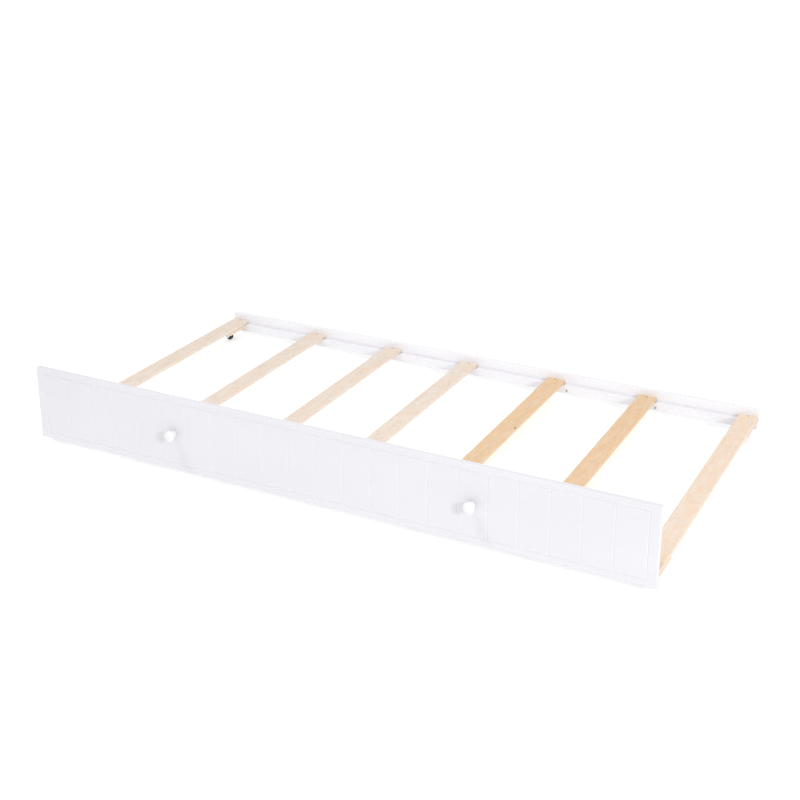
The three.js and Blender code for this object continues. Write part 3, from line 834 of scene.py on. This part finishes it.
def knob(side):
    """A turned knob: a foot on the panel, a neck and a domed head."""
    node = f"knob_{side}"
    size = extent(node)
    head, reach = size.x / 2 / MM, size.y / MM
    neck, foot = KNOB_NECK / 2, KNOB_FOOT / 2
    outline = [(0, 0), (foot, 0), (foot, reach * 0.07), (neck, reach * 0.12), (neck, reach * 0.42),
               (head * 0.82, reach * 0.50), (head, reach * 0.55), (head, reach * 0.84),
               (head * 0.62, reach * 0.965), (head * 0.3, reach), (0, reach)]
    rounding = [0, 0.8, 1.5, 4, 6, 4, 5, 8, 8, 4, 0]
    bm = bmesh.new()
    turned(bm, rounded(outline, rounding, 7), KNOB_SIDES, ALONG_Y)
    obj = make(f"pull_{side}", to_mesh(bm, "pull"), KNOB_PAINT, back_of(node))
    settle(obj, "knob_paint", "frame", node)


def knob_screw(side):
    """The screw behind the panel, its domed head standing on the board."""
    node = f"knob_screw_{side}"
    size = extent(node)
    head, length = size.x / 2 / MM, size.y / MM
    dome, shank = PULL_SCREW_DOME, PULL_SCREW_SHANK
    outline = [(0, -length), (shank, -length + 1), (shank, -dome), (head, -dome),
               (head, -dome * 0.55), (head * 0.6, 0), (0, 0)]
    rounding = [0, 0.4, 0.3, 0.3, 1.6, 2.4, 0]
    bm = bmesh.new()
    turned(bm, rounded(outline, rounding, 5), SCREW_SIDES)
    screw = make(f"pull_screw_{side}", to_mesh(bm, "pull_screw"), SCREW_STEEL)
    cross_cut(screw, *PULL_SCREW_CROSS)
    screw.data.transform(Matrix.Rotation(math.radians(-90), 4, "X"))
    screw.data.set_sharp_from_angle(angle=SHARP_ANGLE)
    screw.location = back_of(node)
    bpy.context.view_layer.update()
    settle(screw, "screw_steel", "frame", node)


# ---- casters ---------------------------------------------------------------------

ROUND_SIDES = 64
PLATE_CORNER = 5.0
PLATE_HOLE, PLATE_HOLE_INSET, PLATE_HOLE_BEVEL = 4.4, 6.0, 0.5
PLATE_SCREW_HEAD, PLATE_SCREW_SHANK = 6.4, 3.2
PLATE_SCREW_HEIGHT, PLATE_SCREW_REACH = 1.6, 8.0    # below the plate, and up past it
PIN_HOLE, PIN_SHANK, PIN_RIM = 3.3, 3.0, 1.2        # two radii, and its head's thickness
CROWN_RADIUS = 14.0
CROWN_RING = (8.6, 12.0)        # radii between which a ring is pressed into the crown
CROWN_RING_LIFT, CROWN_RING_SLOPE = 0.5, 0.8
LEG_THICKNESS = 1.8
LEG_TOP, LEG_END = 22.0, 5.5    # a leg's width at the crown, and its radius about the axle
LEG_END_STEPS, LEG_END_START, LEG_END_ARC = 12, 195, 150    # the round end, in degrees
WHEEL_TRAIL = 9.0
AXLE_RADIUS, AXLE_HOLE, AXLE_HEAD = 2.0, 2.3, 1.2   # two radii, and its heads' thickness
BOSS_WALL, RIM_WALL, WEB_DISH = 1.8, 1.4, 2.0
HUB_RIBS, RIB_LENGTH, RIB_WIDTH, RIB_HEIGHT = 6, 2.8, 0.9, 1.2
TYRE_FIT = 0.3
THROUGH = 3.0                   # how far a cutter stands out on each side


def corner_outline(width, length, corner, steps=6):
    """A rectangle with round corners, as points round it."""
    points = []
    for sx, sy, start in ((1, 1, 0), (-1, 1, 90), (-1, -1, 180), (1, -1, 270)):
        for k in range(steps + 1):
            a = math.radians(start + 90 * k / steps)
            points.append((sx * (width / 2 - corner) + corner * math.cos(a),
                           sy * (length / 2 - corner) + corner * math.sin(a)))
    return points


def heights(node):
    """The bottom and the top of a CAD node's box, in mm."""
    return [corner.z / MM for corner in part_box(node)]


def plate_and_screws(node):
    """The top plate with its holes, and round-headed screws up through it into the block."""
    low, high = heights(node)
    size = extent(node) / MM
    spots = [(sx * (size.x / 2 - PLATE_HOLE_INSET), sy * (size.y / 2 - PLATE_HOLE_INSET))
             for sx in (-1, 1) for sy in (-1, 1)]
    bm = bmesh.new()
    plate(bm, corner_outline(size.x, size.y, PLATE_CORNER), low, high)
    obj = make("plate_work", to_mesh(bm, "caster_plate"), ZINC)
    foot, top = low - THROUGH, high + THROUGH
    holes = bmesh.new()
    turned(holes, [(0, foot), (PIN_HOLE, foot), (PIN_HOLE, top), (0, top)], ROUND_SIDES)
    hole = PLATE_HOLE / 2
    for spot in spots:
        turned(holes, [(0, foot), (hole + PLATE_HOLE_BEVEL, low - 0.1), (hole, low + 0.4),
                       (hole, top), (0, top)], SCREW_SIDES,
               Matrix.Translation(Vector((*spot, 0)) * MM))
    subtract(obj, holes)
    plate_mesh = obj.data
    bpy.data.objects.remove(obj)

    head, shank = PLATE_SCREW_HEAD / 2, PLATE_SCREW_SHANK / 2
    foot, seat, tip = low - PLATE_SCREW_HEIGHT, low - 0.05, high + PLATE_SCREW_REACH
    outline = [(0, foot), (head * 0.7, foot), (head, low - 0.5), (head, seat), (shank, seat),
               (shank, tip - 1), (0, tip)]
    bm = bmesh.new()
    for spot in spots:
        turned(bm, rounded(outline, [0, 0.9, 0.4, 0.1, 0.1, 0.3, 0]), SCREW_SIDES,
               Matrix.Translation(Vector((*spot, 0)) * MM))
    return plate_mesh, to_mesh(bm, "caster_plate_screws")


def kingpin_mesh(node):
    """The kingpin, riveted over below the crown."""
    low, high = heights(node)
    head = extent(node).x / MM / 2
    outline = [(0, low), (head * 0.6, low), (head, low + 0.8), (head, low + PIN_RIM),
               (PIN_SHANK, low + PIN_RIM), (PIN_SHANK, high), (0, high)]
    bm = bmesh.new()
    turned(bm, rounded(outline, [0, 1.2, 0.4, 0.2, 0.2, 0.2, 0]), ROUND_SIDES)
    return to_mesh(bm, "caster_kingpin")


def fork_mesh(node, axle_height):
    """The fork: a crown disc with a pressed ring, and two legs folded down from it."""
    _, top = heights(node)
    low = top - LEG_THICKNESS
    lifted = low + CROWN_RING_LIFT
    start, end = CROWN_RING
    outline = [(PIN_HOLE, low), (start, low), (start + CROWN_RING_SLOPE, lifted),
               (end - CROWN_RING_SLOPE, lifted), (end, low), (CROWN_RADIUS, low),
               (CROWN_RADIUS, top), (PIN_HOLE, top)]
    bm = bmesh.new()
    turned(bm, rounded(outline + [outline[0]], 0.3, 3)[:-1], ROUND_SIDES)
    leg = [(LEG_TOP / 2, top - 0.05), (-LEG_TOP / 2, top - 0.05)]
    for k in range(LEG_END_STEPS + 1):
        a = math.radians(LEG_END_START + LEG_END_ARC * k / LEG_END_STEPS)
        leg.append((-WHEEL_TRAIL + LEG_END * math.cos(a), axle_height + LEG_END * math.sin(a)))
    outside = extent(node).y / MM / 2
    inside = outside - LEG_THICKNESS
    for near, far in ((inside, outside), (-outside, -inside)):
        plate(bm, leg, near, far, turn=ALONG_Y)
    return to_mesh(bm, "caster_fork")


def axle_mesh(node):
    """The axle: a rivet along Y with domed heads."""
    size = extent(node) / MM
    half, head = size.y / 2, size.x / 2
    inside = half - AXLE_HEAD
    outline = [(0, -half), (head * 0.6, -half), (head, -inside - 0.3), (head, -inside),
               (AXLE_RADIUS, -inside), (AXLE_RADIUS, inside), (head, inside), (head, inside + 0.3),
               (head * 0.6, half), (0, half)]
    bm = bmesh.new()
    turned(bm, rounded(outline, 0.5), SCREW_SIDES, ALONG_Y)
    return to_mesh(bm, "caster_axle")


def hub_mesh(node):
    """The hub: a boss and a rim with a dished web between them, and ribs on both its sides."""
    size = extent(node) / MM
    rim, half = size.x / 2, size.y / 2
    boss, lip, dish = AXLE_HOLE + BOSS_WALL, rim - RIM_WALL, half - WEB_DISH
    outline = [(AXLE_HOLE, -half), (boss, -half), (boss + 0.3, -dish), (lip - 0.3, -dish),
               (lip, -half), (rim, -half), (rim, half), (lip, half), (lip - 0.3, dish),
               (boss + 0.3, dish), (boss, half), (AXLE_HOLE, half)]
    bm = bmesh.new()
    turned(bm, rounded(outline + [outline[0]], 0.25, 3)[:-1], ROUND_SIDES, ALONG_Y)
    length, width = RIB_LENGTH / 2, RIB_WIDTH / 2
    rib = [(-length, -width), (length, -width), (length, width), (-length, width)]
    for side in (-1, 1):
        for k in range(HUB_RIBS):
            a = math.tau * k / HUB_RIBS
            centre = Vector((math.cos(a), 0, math.sin(a))) * ((boss + lip) / 2)
            centre.y = side * (dish + 0.35)
            spin = Matrix.Translation(centre * MM) @ Matrix.Rotation(-a, 4, "Y")
            plate(bm, rib, -RIB_HEIGHT / 2, RIB_HEIGHT / 2, 0.15, spin @ ALONG_Y)
    return to_mesh(bm, "wheel_hub")


def tyre_mesh(node, hub_node):
    """The tyre: rounded shoulders, a mould seam round the tread and a ring on each side."""
    size = extent(node) / MM
    tread, half = size.x / 2, size.y / 2
    bore = extent(hub_node).x / MM / 2 + TYRE_FIT
    side_wall = [(bore, half), (bore + 1.2, half), (bore + 1.5, half - 0.25),
                 (bore + 2.0, half - 0.25), (bore + 2.3, half), (tread - 2.0, half),
                 (tread - 0.6, half - 0.6), (tread - 0.05, half - 2.0), (tread - 0.05, 0.30),
                 (tread, 0.12)]
    outline = side_wall + [(r, -h) for r, h in reversed(side_wall)]
    bm = bmesh.new()
    turned(bm, rounded(outline, 0.22, 3), ROUND_SIDES, ALONG_Y)
    return to_mesh(bm, "wheel_tyre")


def caster_meshes(corner):
    """The meshes of one caster, which all four share: the plate, kingpin and fork about the
    kingpin's line, from the floor, and the axle, hub and tyre about the wheel's centre."""
    tyre_node, hub_node = f"wheel_tyre_{corner}", f"wheel_hub_{corner}"
    top_plate, plate_screws = plate_and_screws(f"caster_plate_{corner}")
    return {
        "top_plate": top_plate,
        "plate_screws": plate_screws,
        "kingpin": kingpin_mesh(f"caster_kingpin_{corner}"),
        "fork": fork_mesh(f"caster_fork_{corner}", middle(tyre_node).z / MM),
        "axle": axle_mesh(f"caster_axle_{corner}"),
        "hub": hub_mesh(hub_node),
        "tyre": tyre_mesh(tyre_node, hub_node),
    }


def caster(corner, meshes):
    """One caster, the screws in its plate and the wooden block above it."""
    wheel = middle(f"wheel_tyre_{corner}")
    foot = middle(f"caster_kingpin_{corner}")
    foot.z = 0
    swivels, rolls = f"swivel_{corner}", f"wheel_{corner}"
    parts = (
        ("top_plate", ZINC, "zinc_steel", "frame", foot, "caster_plate"),
        ("kingpin", ZINC, "zinc_steel", "frame", foot, "caster_kingpin"),
        ("fork", ZINC, "zinc_steel", swivels, foot, "caster_fork"),
        ("axle", ZINC, "zinc_steel", swivels, wheel, "caster_axle"),
        ("hub", HUB_PLASTIC, "hub_plastic", rolls, wheel, "wheel_hub"),
        ("tyre", TYRE_RUBBER, "tyre_rubber", rolls, wheel, "wheel_tyre"),
    )
    for name, material, slot, body, place, node in parts:
        obj = make(f"{name}_{corner}", meshes[name], material, place)
        settle(obj, slot, body, f"{node}_{corner}")
    screws = make(f"plate_screws_{corner}", meshes["plate_screws"], SCREW_STEEL, foot)
    settle(screws, "screw_steel", "frame")
    node = f"caster_block_{corner}"
    bm = block(extent(node), RAIL_ROUNDING, BOARD_END_ROUNDING)
    seed = BLOCK_WOOD_SEED + CORNERS.index(corner)
    material = wood(f"block_wood_{corner}", HONEY, HONEY_DEEP, seed, trunk=(9, -35))
    pad = make(f"block_{corner}", to_mesh(bm, "block"), material, middle(node))
    even_shading(pad)
    settle(pad, "slat_wood", "frame", node)


# ---- build -----------------------------------------------------------------------

make_camera()
make_light()

bm = bmesh.new()
bmesh.ops.create_grid(bm, x_segments=1, y_segments=1, size=FLOOR_SIZE / 2)
make("floor", to_mesh(bm, "floor"), floor_material(), (0, 0, cad_box[0].z))

SLAT_SCREW = countersunk_mesh("slat_screw", SLAT_SCREW_LENGTH, SCREW_STEEL)
CLEAT_SCREW = countersunk_mesh("cleat_screw", CLEAT_SCREW_LENGTH, SCREW_STEEL)

front_panel()
rail()
cleat("cleat_front", "front_cleat", -1)
cleat("cleat_rear", "rear_cleat", 1)
for number, looks in enumerate(SLAT_LOOKS, 1):
    slat(number, looks)
for side in ("left", "right"):
    knob(side)
    knob_screw(side)
caster_parts = caster_meshes(CORNERS[0])
for corner in CORNERS:
    caster(corner, caster_parts)

bpy.context.view_layer.update()
